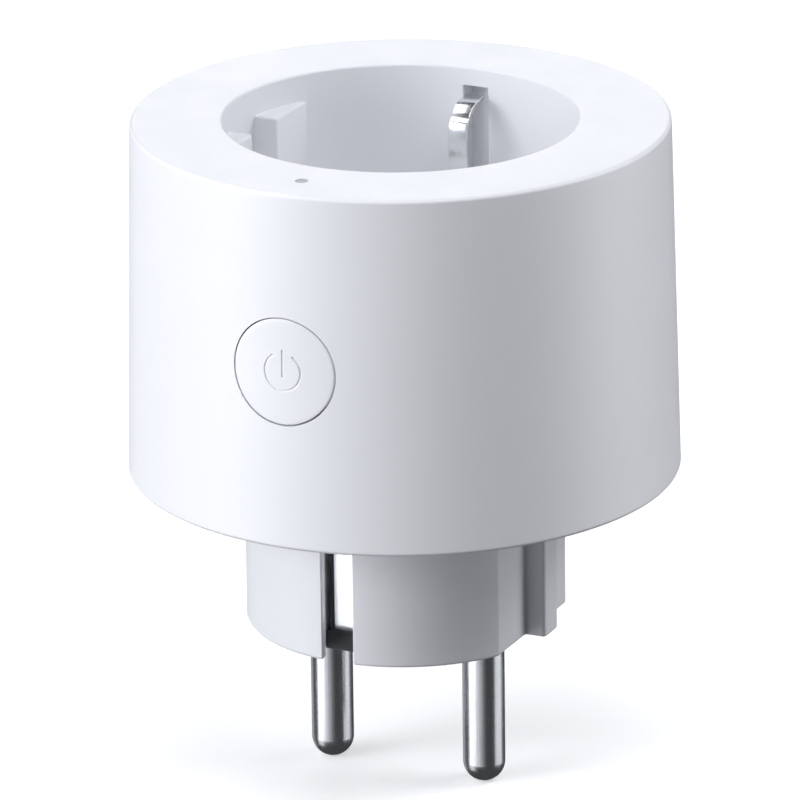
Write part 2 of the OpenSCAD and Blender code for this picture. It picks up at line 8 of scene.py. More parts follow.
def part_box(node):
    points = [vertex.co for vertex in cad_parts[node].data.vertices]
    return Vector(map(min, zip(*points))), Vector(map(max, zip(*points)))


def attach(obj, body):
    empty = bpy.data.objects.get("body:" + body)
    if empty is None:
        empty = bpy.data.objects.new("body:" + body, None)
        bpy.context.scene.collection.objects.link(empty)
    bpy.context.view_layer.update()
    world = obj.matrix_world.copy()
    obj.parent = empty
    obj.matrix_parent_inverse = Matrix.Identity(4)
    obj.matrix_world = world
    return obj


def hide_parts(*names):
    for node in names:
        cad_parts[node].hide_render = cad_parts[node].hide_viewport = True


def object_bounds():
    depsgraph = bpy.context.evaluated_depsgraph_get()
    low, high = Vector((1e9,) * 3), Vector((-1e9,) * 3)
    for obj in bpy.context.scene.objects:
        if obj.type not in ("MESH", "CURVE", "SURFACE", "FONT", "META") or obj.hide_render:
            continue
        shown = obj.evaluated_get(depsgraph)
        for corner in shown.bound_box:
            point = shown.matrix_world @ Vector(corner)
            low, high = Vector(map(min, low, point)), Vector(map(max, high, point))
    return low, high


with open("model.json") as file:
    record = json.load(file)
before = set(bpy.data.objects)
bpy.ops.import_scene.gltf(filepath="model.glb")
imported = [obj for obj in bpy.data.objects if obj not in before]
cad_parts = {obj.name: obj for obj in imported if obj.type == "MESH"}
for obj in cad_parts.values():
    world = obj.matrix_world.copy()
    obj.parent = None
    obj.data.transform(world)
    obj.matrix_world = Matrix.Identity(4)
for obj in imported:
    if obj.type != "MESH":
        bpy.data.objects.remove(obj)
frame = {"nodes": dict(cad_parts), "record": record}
cad_low, cad_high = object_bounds()
scene = bpy.context.scene
MM = 0.001

# ---------- sizes, in millimetres, some read from the frame and some given ---


def box(node):
    low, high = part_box(node)
    return Vector(low) / MM, Vector(high) / MM


mounts = {m["name"]: m for m in frame["record"]["mounts"]}
shell_low, shell_high = box("outer_shell")
BODY_Z, RIM_Z = shell_low.z, shell_high.z
BOTTOM_R = (shell_high.x - shell_low.x) / 2
TOP_R = BOTTOM_R - 1.0  # the body narrows a little towards the rim
WALL, RIM_T, EDGE = 1.8, 2.0, 0.45
WELL_R, WELL_WALL, WELL_DEPTH = 19.8, 1.4, 17.5
FLOOR_Z, FLOOR_T = RIM_Z - WELL_DEPTH, 1.6
FLOOR_UNDER = FLOOR_Z - FLOOR_T
APERTURE_R = mounts["live_aperture"]["dims"]["r_mm"]
PIN_X = abs(mounts["live_pin"]["pos_m"][0]) / MM
PIN_R = mounts["live_pin"]["dims"]["r_mm"]
RIB_X, RIB_Y, RIB_END_Y, RIB_DROP = 16.8, 3.05, 11.4, 3.2
CHANNEL_W, CHANNEL_BACK, CHANNEL_TOP = 3.0, 22.2, RIM_Z - 2.1
PLUG_R, FLAT_X, FLAT_RIB_W = 18.05, 15.65, 3.5
SLOT_W, SLOT_INNER_W, SLOT_BACK, LIP_T = 3.8, 6.4, 12.35, 1.1
FLANGE_TOP = BODY_Z + 2.4
HOLLOW_R, HOLLOW_LOW, TOWER_R = 11.5, 3.0, 5.0
PIN_HEAD_Z = 13.0
BOSS_R, CARRIER_BOSS_R = 3.0, 2.3
SCREW_CORE_R, CARRIER_CORE_R = 1.25, 0.95
SCREW_RING_R, CARRIER_RING_R, POST_RING_R = 26.3, 17.2, 24
BOARD_Z = box("main_board")[0].z
CARRIER_TOP = box("contact_carrier")[1].z
button_low, button_high = box("button_cap")
BUTTON_Z = (button_low.z + button_high.z) / 2
BUTTON_R, BUTTON_SLIT = 6.0, 0.15
BUTTON_FLANGE_R, BUTTON_STEM_R, BUTTON_STEM_Y = 7.2, 1.6, 26.42
PAD_R, PAD_FRONT_Y, PAD_Y = 8.2, 28.9, 27.4
light_low, light_high = box("light_guide")
LIGHT_Y = (light_low.y + light_high.y) / 2
LIGHT_R = 0.7
STRAP_W, STRAP_T = 3.9, 0.6
CLIP_W, CLIP_T = 2.2, 0.5


def body_r(z):
    return BOTTOM_R + (TOP_R - BOTTOM_R) * (z - BODY_Z) / (RIM_Z - BODY_Z)


# ---------- shapes: each is a list of points and a list of faces, in millimetres ----------


def arc(cx, cy, r, start, end, steps):
    angles = [math.radians(start + (end - start) * i / steps) for i in range(steps + 1)]
    return [(cx + r * math.cos(a), cy + r * math.sin(a)) for a in angles]


def join(*shapes):
    points, faces = [], []
    for p, f in shapes:
        base = len(points)
        points += p
        faces += [tuple(i + base for i in face) for face in f]
    return points, faces


def moved(shape, x=0, y=0, z=0, turn=0):
    c, s = math.cos(math.radians(turn)), math.sin(math.radians(turn))
    return [(c * p[0] - s * p[1] + x, s * p[0] + c * p[1] + y, p[2] + z) for p in shape[0]], shape[1]


def at_spots(shape, spots):
    return join(*[moved(shape, x, y) for x, y in spots])


def ring_spots(r, angles):
    return [(r * math.cos(math.radians(a)), r * math.sin(math.radians(a))) for a in angles]


def towards_y(shape, x, z):
    """Turns a shape made along +Z so that it runs along +Y, at x and z."""
    return [(p[0] + x, p[2], -p[1] + z) for p in shape[0]], shape[1]


def lathe(profile, columns):
    """A solid of revolution. The profile of (r, z) is closed, or starts and ends on the axis."""
    points, rings = [], []
    for r, z in profile:
        if r < 1e-6:
            rings.append([len(points)])
            points.append((0, 0, z))
        else:
            rings.append(list(range(len(points), len(points) + columns)))
            around = [2 * math.pi * k / columns for k in range(columns)]
            points += [(r * math.cos(a), r * math.sin(a), z) for a in around]
    faces = []
    last = len(rings) if len(rings[0]) > 1 else len(rings) - 1
    for i in range(last):
        a, b = rings[i], rings[(i + 1) % len(rings)]
        for k in range(columns):
            n = (k + 1) % columns
            if len(a) == 1 and len(b) > 1:
                faces.append((a[0], b[n], b[k]))
            elif len(b) == 1 and len(a) > 1:
                faces.append((a[k], a[n], b[0]))
            elif len(a) > 1:
                faces.append((a[k], a[n], b[n], b[k]))
    return points, faces


def prism(outline, z0, z1):
    n = len(outline)
    points = [(x, y, z0) for x, y in outline] + [(x, y, z1) for x, y in outline]
    faces = [tuple(range(n - 1, -1, -1)), tuple(range(n, 2 * n))]
    faces += [(i, (i + 1) % n, n + (i + 1) % n, n + i) for i in range(n)]
    return points, faces


def round_bar(r, z0, z1, columns=64):
    return prism(arc(0, 0, r, 0, 360 - 360 / columns, columns - 1), z0, z1)


def block(x0, x1, y0, y1, z0, z1):
    return prism([(x0, y0), (x1, y0), (x1, y1), (x0, y1)], z0, z1)


def soft_block(x0, x1, y0, y1, z0, z1, r):
    bm = bmesh.new()
    bmesh.ops.create_cube(bm, size=1)
    for v in bm.verts:
        v.co = Vector((x0 + (v.co.x + 0.5) * (x1 - x0), y0 + (v.co.y + 0.5) * (y1 - y0),
                       z0 + (v.co.z + 0.5) * (z1 - z0)))
    bmesh.ops.bevel(bm, geom=list(bm.edges), offset=r, segments=4, profile=0.5, affect="EDGES")
    bm.verts.index_update()
    shape = [tuple(v.co) for v in bm.verts], [tuple(v.index for v in f.verts) for f in bm.faces]
    bm.free()
    return shape


def mesh_object(name, shape, metres=True):
    data = bpy.data.meshes.new(name)
    scale = MM if metres else 1
    data.from_pydata([tuple(scale * c for c in p) for p in shape[0]], [], shape[1])
    bm = bmesh.new()
    bm.from_mesh(data)
    bmesh.ops.remove_doubles(bm, verts=bm.verts, dist=0.002 * scale)
    bmesh.ops.dissolve_degenerate(bm, edges=bm.edges, dist=0.001 * scale)
    bmesh.ops.recalc_face_normals(bm, faces=bm.faces)
    bm.to_mesh(data)
    bm.free()
    obj = bpy.data.objects.new(name, data)
    scene.collection.objects.link(obj)
    return obj


def carved(name, solid, added, removed):
    """One closed mesh: the solid with the added shapes joined to it and the removed shapes cut away."""
    work = mesh_object(name + "_work", solid, False)
    helpers = []
    for part, operation in ((added, "UNION"), (removed, "DIFFERENCE")):
        tool = mesh_object(name + "_tool", part, False)
        helpers.append(tool)
        step = work.modifiers.new("step", "BOOLEAN")
        step.operation, step.object, step.solver = operation, tool, "EXACT"
        step.use_self = True
    bpy.context.view_layer.update()
    data = bpy.data.meshes.new_from_object(work.evaluated_get(bpy.context.evaluated_depsgraph_get()))
    for o in helpers + [work]:
        bpy.data.objects.remove(o)
    data.name = name
    data.transform(Matrix.Scale(MM, 4))
    obj = bpy.data.objects.new(name, data)
    scene.collection.objects.link(obj)
    return obj


def finish_piece(obj, body, slot, nodes, sharp=32):
    data = obj.data
    data.materials.clear()
    data.materials.append(looks[slot])
    data.polygons.foreach_set("use_smooth", [True] * len(data.polygons))
    data.set_sharp_from_angle(angle=math.radians(sharp))
    weighted = obj.modifiers.new("weighted_normals", "WEIGHTED_NORMAL")
    weighted.keep_sharp, weighted.weight = True, 60
    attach(obj, body)
    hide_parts(*nodes)


# ---------- materials ----------


class Look:
    """A node material in object space: one shader, and helpers that add patterns to it."""

    def __init__(self, name, colour, roughness, metallic=0.0):
        self.material = bpy.data.materials.new(name)
        self.material.use_nodes = True
        self.tree = self.material.node_tree
        self.shader = self.tree.nodes["Principled BSDF"]
        self.place = self.tree.nodes.new("ShaderNodeTexCoord").outputs["Object"]
        self.colour = self.rgb(colour)
        self.rough = None
        self.base_rough = roughness
        self.shader.inputs["Metallic"].default_value = metallic
        self.heights = []

    def node(self, kind, **values):
        n = self.tree.nodes.new(kind)
        for key, value in values.items():
            setattr(n, key, value)
        return n

    def link(self, a, b):
        self.tree.links.new(a, b)

    def rgb(self, colour):
        n = self.node("ShaderNodeRGB")
        n.outputs[0].default_value = (*colour, 1)
        return n.outputs[0]

    def stretched(self, scale):
        n = self.node("ShaderNodeMapping")
        n.inputs["Scale"].default_value = scale
        self.link(self.place, n.inputs["Vector"])
        return n.outputs[0]

    def noise(self, size_mm, detail=3.0, stretch=(1, 1, 1)):
        n = self.node("ShaderNodeTexNoise")
        n.inputs["Scale"].default_value = 1 / (size_mm * MM)
        n.inputs["Detail"].default_value = detail
        self.link(self.stretched(stretch), n.inputs["Vector"])
        return n.outputs["Fac"]

    def cells(self, size_mm, feature="F1", stretch=(1, 1, 1)):
        n = self.node("ShaderNodeTexVoronoi", feature=feature)
        n.inputs["Scale"].default_value = 1 / (size_mm * MM)
        self.link(self.stretched(stretch), n.inputs["Vector"])
        return n.outputs["Distance"]

    def bands(self, size_mm, direction="Z", distortion=0.0):
        n = self.node("ShaderNodeTexWave", wave_type="BANDS", bands_direction=direction)
        n.inputs["Scale"].default_value = 0.314 / (size_mm * MM)
        n.inputs["Distortion"].default_value = distortion
        self.link(self.place, n.inputs["Vector"])
        return n.outputs["Fac"]

    def ramp(self, value, low, high, to_low=0.0, to_high=1.0):
        n = self.node("ShaderNodeMapRange")
        for key, v in (("From Min", low), ("From Max", high), ("To Min", to_low), ("To Max", to_high)):
            n.inputs[key].default_value = v
        self.link(value, n.inputs["Value"])
        return n.outputs["Result"]

    def tint(self, mask, colour):
        """Blends towards a colour where the mask is 1."""
        n = self.node("ShaderNodeMix", data_type="RGBA")
        self.link(mask, n.inputs[0])
        self.link(self.colour, n.inputs[6])
        self.link(self.rgb(colour), n.inputs[7])
        self.colour = n.outputs[2]
        return self

    def vary_rough(self, value, low, high):
        r = self.ramp(value, 0.3, 0.7, low, high)
        if self.rough is not None:
            n = self.node("ShaderNodeMath", operation="MAXIMUM")
            self.link(self.rough, n.inputs[0])
            self.link(r, n.inputs[1])
            r = n.outputs[0]
        self.rough = r
        return self

    def bump(self, height, depth_mm, strength=1.0):
        self.heights.append((height, depth_mm * MM, strength))
        return self

    def painted_edge_highlight(self, radius_mm, colour, gain=5.0):
        """Painted edge highlight: colour tinted lighter or darker on an edge, where rounded and true
        normals differ, broken into patches by noise.
        """
        rounded = self.node("ShaderNodeBevel", samples=6)
        rounded.inputs["Radius"].default_value = radius_mm * MM
        plain = self.node("ShaderNodeNewGeometry")
        apart = self.node("ShaderNodeVectorMath", operation="DISTANCE")
        self.link(rounded.outputs[0], apart.inputs[0])
        self.link(plain.outputs["Normal"], apart.inputs[1])
        patchy = self.node("ShaderNodeMath", operation="MULTIPLY")
        self.link(self.ramp(apart.outputs["Value"], 0.1, 0.1 + 1 / gain), patchy.inputs[0])
        self.link(self.ramp(self.noise(1.7), 0.35, 0.65, 0.25, 0.9), patchy.inputs[1])
        self.tint(patchy.outputs[0], colour)
        return self

    def done(self):
        self.link(self.colour, self.shader.inputs["Base Color"])
        if self.rough is None:
            self.shader.inputs["Roughness"].default_value = self.base_rough
        else:
            self.link(self.rough, self.shader.inputs["Roughness"])
        before = None
        for height, depth, strength in self.heights:
            n = self.node("ShaderNodeBump")
            n.inputs["Distance"].default_value = depth
            n.inputs["Strength"].default_value = strength
            self.link(height, n.inputs["Height"])
            if before is not None:
                self.link(before, n.inputs["Normal"])
            before = n.outputs[0]
        if before is not None:
            self.link(before, self.shader.inputs["Normal"])
        return self.material


def shade(colour, factor):
    return tuple(min(1.0, c * factor) for c in colour)


def moulded(name, colour, rough, grain_mm=0.3, grain_depth=0.002, edge=1.03):
    k = Look(name, colour, rough)
    k.tint(k.ramp(k.noise(14, 4), 0.35, 0.7, 0, 0.5), shade(colour, 0.975))
    k.tint(k.ramp(k.noise(0.5, 2), 0.45, 0.75, 0, 0.35), shade(colour, 0.985))
    # painted highlight: edges tinted lighter by the factor edge
    k.painted_edge_highlight(0.25, shade(colour, edge))
    k.vary_rough(k.noise(3.5, 4), rough - 0.05, rough + 0.05)
    k.bump(k.noise(grain_mm, 2), grain_depth, 0.6)
    k.bump(k.noise(6, 2), 0.01, 0.5)
    return k.done()


def metal(name, colour, rough, along, dull, depth=0.002):
    """Plated or rolled metal, with fine lines along one axis, spots of dullness and a painted highlight
    on its edges.
    """
    k = Look(name, colour, rough, 1.0)
    fine = tuple(0.04 if a == along else 1 for a in "xyz")
    k.tint(k.ramp(k.noise(4.5, 5), 0.45, 0.8, 0, 0.6), dull)
    k.tint(k.ramp(k.noise(0.35, 3, fine), 0.5, 0.8, 0, 0.25), shade(colour, 0.88))
    # painted highlight: edges tinted a little lighter
    k.painted_edge_highlight(0.15, shade(colour, 1.08))
    k.vary_rough(k.noise(0.3, 3, fine), rough - 0.04, rough + 0.06)
    k.bump(k.noise(0.12, 2, fine), depth, 0.5)
    return k.done()


def glossy(name, colour, rough, spots, coat=0.0):
    k = Look(name, colour, rough)
    k.tint(k.ramp(k.noise(2.5, 4), 0.4, 0.7, 0, 0.5), spots)
    # painted highlight: edges tinted lighter
    k.painted_edge_highlight(0.2, shade(colour, 1.25))
    k.vary_rough(k.noise(1.2, 4), rough - 0.06, rough + 0.08)
    k.bump(k.noise(1.0, 3), 0.01, 0.5)
    k.shader.inputs["Coat Weight"].default_value = coat
    return k.done()


def board(name, colour, traces):
    """Solder mask over copper tracks, with a faint woven core."""
    k = Look(name, colour, 0.35)
    tracks = k.ramp(k.cells(2.6, "DISTANCE_TO_EDGE"), 0.08, 0.11, 1, 0)
    k.tint(tracks, traces)
    k.tint(k.ramp(k.noise(0.8, 3), 0.5, 0.8, 0, 0.4), shade(colour, 0.7))
    k.vary_rough(k.noise(2, 3), 0.28, 0.42)
    k.bump(tracks, 0.03, 0.6)
    k.bump(k.bands(0.45, "X"), 0.006, 0.3)
    k.bump(k.bands(0.45, "Y"), 0.006, 0.3)
    return k.done()


def wound(name, colour):
    k = Look(name, colour, 0.28, 0.6)
    turns = k.bands(0.3, "Z")
    # painted shade: darker in the grooves between turns of wire
    k.tint(k.ramp(turns, 0.1, 0.5, 0.8, 0), shade(colour, 0.35))
    k.tint(k.ramp(k.noise(1.5, 3), 0.4, 0.7, 0, 0.4), shade(colour, 1.4))
    k.vary_rough(k.noise(0.8, 3), 0.22, 0.4)
    k.bump(turns, 0.08, 0.8)
    k.shader.inputs["Coat Weight"].default_value = 0.5
    return k.done()


def grainy(name, colour, rough, grain_mm, depth, light):
    """Sintered, pressed or dipped stuff with a coarse grain."""
    k = Look(name, colour, rough)
    grain = k.cells(grain_mm)
    k.tint(k.ramp(grain, 0.2, 0.8, 0, 0.6), light)
    k.tint(k.ramp(k.noise(3, 4), 0.4, 0.7, 0, 0.4), shade(colour, 0.75))
    # painted highlight: edges tinted towards the lighter colour
    k.painted_edge_highlight(0.3, light)
    k.vary_rough(k.noise(1, 3), rough - 0.1, rough + 0.1)
    k.bump(grain, depth, 0.5)
    return k.done()


def clear(name, colour, rough, through):
    k = Look(name, colour, rough)
    k.tint(k.ramp(k.noise(0.9, 3), 0.4, 0.7, 0, 0.4), shade(colour, 0.85))
    k.vary_rough(k.noise(0.5, 3), rough - 0.05, rough + 0.1)
    k.bump(k.noise(0.4, 2), 0.004, 0.4)
    k.shader.inputs["Transmission Weight"].default_value = through
    k.shader.inputs["IOR"].default_value = 1.49
    return k.done()


WHITE = (0.815, 0.825, 0.848)
looks = {
    "shell_plastic": moulded("shell_plastic", WHITE, 0.40),
    "plug_plastic": moulded("plug_plastic", shade(WHITE, 0.97), 0.42),
    "button_plastic": moulded("button_plastic", WHITE, 0.38),
    "light_plastic": clear("light_plastic", (0.42, 0.44, 0.47), 0.3, 0.25),
    "pin_plating": metal("pin_plating", (0.74, 0.75, 0.77), 0.24, "z", (0.64, 0.65, 0.68)),
    "strap_plating": metal("strap_plating", (0.86, 0.87, 0.88), 0.38, "z", (0.80, 0.81, 0.82)),
    "clip_plating": metal("clip_plating", (0.80, 0.81, 0.82), 0.20, "z", (0.66, 0.67, 0.69)),
    "brass": metal("brass", (0.80, 0.60, 0.27), 0.28, "z", (0.55, 0.37, 0.15)),
    "copper": metal("copper", (0.78, 0.42, 0.25), 0.30, "x", (0.50, 0.24, 0.14)),
    "screw_steel": metal("screw_steel", (0.60, 0.61, 0.63), 0.30, "z", (0.42, 0.43, 0.45)),
    "relay_iron": metal("relay_iron", (0.50, 0.50, 0.52), 0.34, "x", (0.36, 0.36, 0.37)),
    "shield_tin": metal("shield_tin", (0.70, 0.71, 0.72), 0.36, "x", (0.56, 0.57, 0.58)),
    "carrier_plastic": moulded("carrier_plastic", (0.050, 0.052, 0.056), 0.50, 0.4, 0.006, 1.6),
    "holder_plastic": moulded("holder_plastic", (0.060, 0.066, 0.073), 0.50, 0.3, 0.004, 1.5),
    "chip_plastic": moulded("chip_plastic", (0.018, 0.018, 0.020), 0.48, 0.2, 0.006, 2.0),
    "shutter_plastic": moulded("shutter_plastic", (0.78, 0.77, 0.72), 0.34),
    "plunger_plastic": moulded("plunger_plastic", (0.22, 0.10, 0.06), 0.42, 0.3, 0.004, 1.3),
    "relay_plastic": glossy("relay_plastic", (0.025, 0.07, 0.22), 0.26, (0.02, 0.05, 0.16), 0.3),
    "capacitor_sleeve": glossy("capacitor_sleeve", (0.012, 0.016, 0.06), 0.22, (0.02, 0.03, 0.09), 0.4),
    "film_case": glossy("film_case", (0.62, 0.46, 0.10), 0.32, (0.50, 0.36, 0.08), 0.2),
    "circuit_board": board("circuit_board", (0.010, 0.085, 0.035), (0.03, 0.17, 0.07)),
    "module_board": board("module_board", (0.008, 0.020, 0.085), (0.02, 0.05, 0.17)),
    "winding": wound("winding", (0.42, 0.14, 0.04)),
    "insulation": grainy("insulation", (0.72, 0.66, 0.50), 0.62, 0.5, 0.01, (0.80, 0.75, 0.60)),
    "varistor_coat": grainy("varistor_coat", (0.015, 0.055, 0.30), 0.40, 0.7, 0.02, (0.03, 0.10, 0.42)),
    "ferrite": grainy("ferrite", (0.030, 0.030, 0.033), 0.58, 0.25, 0.015, (0.07, 0.07, 0.075)),
    "resistor_coat": grainy("resistor_coat", (0.06, 0.16, 0.07), 0.48, 0.6, 0.02, (0.10, 0.24, 0.11)),
    "led_lens": clear("led_lens", (0.86, 0.83, 0.62), 0.12, 0.6),
}

for row in frame["record"]["subparts"]:
    node = frame["nodes"][row["node"]]
    for place in node.material_slots:
        place.material = looks[row["material_slot"]]

# ---------- housing ----------

PIN_SPOTS = [(-PIN_X, 0), (PIN_X, 0)]
SCREW_SPOTS = ring_spots(SCREW_RING_R, (45, 135, 225, 315))
CARRIER_SPOTS = ring_spots(CARRIER_RING_R, (40, 220))
POST_SPOTS = ring_spots(POST_RING_R, (15, 165, 205, 335))


def housing_profile():
    slope = math.degrees(math.atan((BOTTOM_R - TOP_R) / (RIM_Z - BODY_Z)))
    outside = [(BOTTOM_R - WALL, BODY_Z)]
    outside += arc(BOTTOM_R - EDGE, BODY_Z + EDGE, EDGE, -90, slope, 7)
    levels = 14
    low, high = BODY_Z + 1.2, RIM_Z - 1.2
    outside += [(body_r(low + (high - low) * i / levels), low + (high - low) * i / levels)
                for i in range(levels + 1)]
    outside += arc(TOP_R - EDGE, RIM_Z - EDGE, EDGE, slope, 90, 7)
    outside += [(27.5, RIM_Z), (22.5, RIM_Z)]
    mouth = 0.25
    outside += arc(WELL_R + mouth, RIM_Z - mouth, mouth, 90, 180, 5)
    corner = 0.4
    outside += [(WELL_R, RIM_Z - 5), (WELL_R, RIM_Z - 10)]
    outside += arc(WELL_R - corner, FLOOR_Z + corner, corner, 0, -90, 5)
    inside = [(15.5, FLOOR_Z), (8, FLOOR_Z), (0, FLOOR_Z), (0, FLOOR_UNDER),
              (WELL_R + WELL_WALL, FLOOR_UNDER), (WELL_R + WELL_WALL, RIM_Z - RIM_T),
              (TOP_R - WALL, RIM_Z - RIM_T)]
    return outside + inside


def rolled(profile):
    """Starts the outline at its last point on the axis, so that it runs from axis to axis."""
    start = max(i for i, p in enumerate(profile) if p[0] == 0)
    return profile[start:] + profile[:start]


def channel_cutter():
    """Slot of an earth clip, with a soft mouth in the wall of the well."""
    half, soft = CHANNEL_W / 2, 0.22
    cx = half + soft
    cy = math.sqrt((WELL_R + soft) ** 2 - cx ** 2)
    towards_axis = 180 + math.degrees(math.atan2(cy, cx))
    right = [(half, CHANNEL_BACK)] + arc(cx, cy, soft, 180, towards_axis, 5)
    outline = right + [(right[-1][0], 17)] + [(-x, y) for x, y in [(right[-1][0], 17)] + right[::-1]]
    upper = prism(outline, FLOOR_Z + 0.4, CHANNEL_TOP)
    lower = block(-half, half, 17.2, CHANNEL_BACK, FLOOR_UNDER - 1, FLOOR_Z + 1)
    return join(upper, lower)


def aperture_cutter():
    soft = 0.45
    rim = [(APERTURE_R + soft - soft * math.cos(a), FLOOR_Z - soft + soft * math.sin(a))
           for a in map(math.radians, (0, 18, 36, 54, 72, 86))]
    profile = [(0, FLOOR_UNDER - 1), (APERTURE_R, FLOOR_UNDER - 1)] + rim
    profile += [(APERTURE_R + soft, FLOOR_Z + 0.4), (0, FLOOR_Z + 0.4)]
    return lathe(profile, 72)


def make_housing():
    solid = lathe(rolled(housing_profile()), 288)
    rib_root = WELL_R + 0.15
    ribs = [soft_block(*sorted((sx * RIB_X, sx * rib_root)), *sorted((sy * RIB_Y, sy * RIB_END_Y)),
                       FLOOR_Z - 0.6, RIM_Z - RIB_DROP, 0.3) for sx in (-1, 1) for sy in (-1, 1)]
    backing = block(-2.5, 2.5, WELL_R + 0.6, 23, FLOOR_UNDER, CHANNEL_TOP + 1)
    walls = [moved(backing, turn=t) for t in (0, 180)]
    bosses = [at_spots(round_bar(BOSS_R, FLANGE_TOP + 0.05, RIM_Z - RIM_T / 2, 48), SCREW_SPOTS),
              at_spots(round_bar(CARRIER_BOSS_R, CARRIER_TOP, FLOOR_UNDER + 0.2, 48), CARRIER_SPOTS)]
    pad = towards_y(round_bar(PAD_R, -PAD_FRONT_Y, -PAD_Y, 96), 0, BUTTON_Z)
    channels = [moved(channel_cutter(), turn=t) for t in (0, 180)]
    holes = at_spots(aperture_cutter(), PIN_SPOTS)
    cores = [at_spots(round_bar(SCREW_CORE_R, FLANGE_TOP - 1, FLANGE_TOP + 11, 32), SCREW_SPOTS),
             at_spots(round_bar(CARRIER_CORE_R, CARRIER_TOP - 1, FLOOR_Z - 0.6, 32), CARRIER_SPOTS)]
    button_bore = round_bar(BUTTON_R + BUTTON_SLIT, -BOTTOM_R - 1, -PAD_Y + 1, 192)
    button_hole = towards_y(button_bore, 0, BUTTON_Z)
    light_hole = moved(round_bar(LIGHT_R + 0.04, RIM_Z - 3, RIM_Z + 1, 48), y=LIGHT_Y)
    return carved("housing_shell", solid, join(*ribs, *walls, *bosses, pad),
                  join(*channels, holes, *cores, button_hole, light_hole))


housing = make_housing()
finish_piece(housing, "housing", "shell_plastic", ["outer_shell"])

# ---------- plug and cover ----------


def plug_outline(d=0.0):
    """Outline of the plug, moved inwards by d. A corner turns sharp when d eats up its radius."""
    soft, lip_soft, inner = max(0.45 - d, 0), max(0.12 - d, 0), 0.25 + d
    flat, rib, side = FLAT_X - d, FLAT_RIB_W / 2 - d, SLOT_W / 2 + d
    outer, lip_in = PLUG_R - d, PLUG_R - LIP_T + d
    wide, back = SLOT_INNER_W / 2 + d, SLOT_BACK - d

    def on_circle(r, x=None, y=None):
        """Centre of a corner of radius r that touches the outer circle."""
        reach = outer - r
        return (x, math.sqrt(reach ** 2 - x ** 2)) if y is None else (math.sqrt(reach ** 2 - y ** 2), y)

    def angle(c):
        return math.degrees(math.atan2(c[1], c[0]))
    rib_corner = on_circle(soft, y=rib - soft)
    flat_corner = on_circle(soft, x=flat - soft)
    lip_corner = on_circle(lip_soft, x=side + lip_soft)
    quarter = (arc(0, 0, outer, 0, angle(rib_corner), 5)
               + arc(*rib_corner, soft, angle(rib_corner), 90, 6)[1:]
               + arc(flat + inner, rib + inner, inner, 270, 180, 4)
               + arc(*flat_corner, soft, 0, angle(flat_corner), 6)
               + arc(0, 0, outer, angle(flat_corner), angle(lip_corner), 44)[1:]
               + arc(*lip_corner, lip_soft, angle(lip_corner), 180, 5)[1:]
               + arc(side + lip_soft, lip_in + lip_soft, lip_soft, 180, 270, 5)
               + arc(wide - inner, lip_in - inner, inner, 90, 0, 4)
               + arc(wide - inner, back + inner, inner, 0, -90, 4)
               + [(0, back)])
    half = quarter + [(-x, y) for x, y in quarter[-2::-1]]
    return half + [(x, -y) for x, y in half[-2:0:-1]]


def plug_solid():
    """Plug with a rounded lower edge."""
    edge, steps = 0.42, 6
    rings = []
    for i in range(steps + 1):
        a = math.radians(90 * i / steps)
        outline = plug_outline(edge * (1 - math.cos(a)))
        rings.insert(0, [(x, y, edge * (1 - math.sin(a))) for x, y in outline])
    rings.append([(x, y, BODY_Z + 0.3) for x, y in plug_outline()])
    n = len(rings[0])
    points = [p for ring in rings for p in ring]
    faces = [(k * n + i, k * n + (i + 1) % n, (k + 1) * n + (i + 1) % n, (k + 1) * n + i)
             for k in range(len(rings) - 1) for i in range(n)]
    faces += [tuple(range((len(rings) - 1) * n, len(rings) * n)), tuple(range(n - 1, -1, -1))]
    return points, faces


def hollow_outline():
    """The hollow inside the plug: a circle less the towers round the two pins."""
    x = (HOLLOW_R ** 2 - TOWER_R ** 2 + PIN_X ** 2) / (2 * PIN_X)
    y = math.sqrt(HOLLOW_R ** 2 - x ** 2)
    wide, turned = math.degrees(math.atan2(y, x)), math.degrees(math.atan2(y, PIN_X - x))
    return (arc(0, 0, HOLLOW_R, wide, 180 - wide, 40)[:-1]
            + arc(-PIN_X, 0, TOWER_R, turned, -turned, 40)
            + arc(0, 0, HOLLOW_R, 180 + wide, 360 - wide, 40)[1:-1]
            + arc(PIN_X, 0, TOWER_R, 180 + turned, 180 - turned, 40)[:-1])


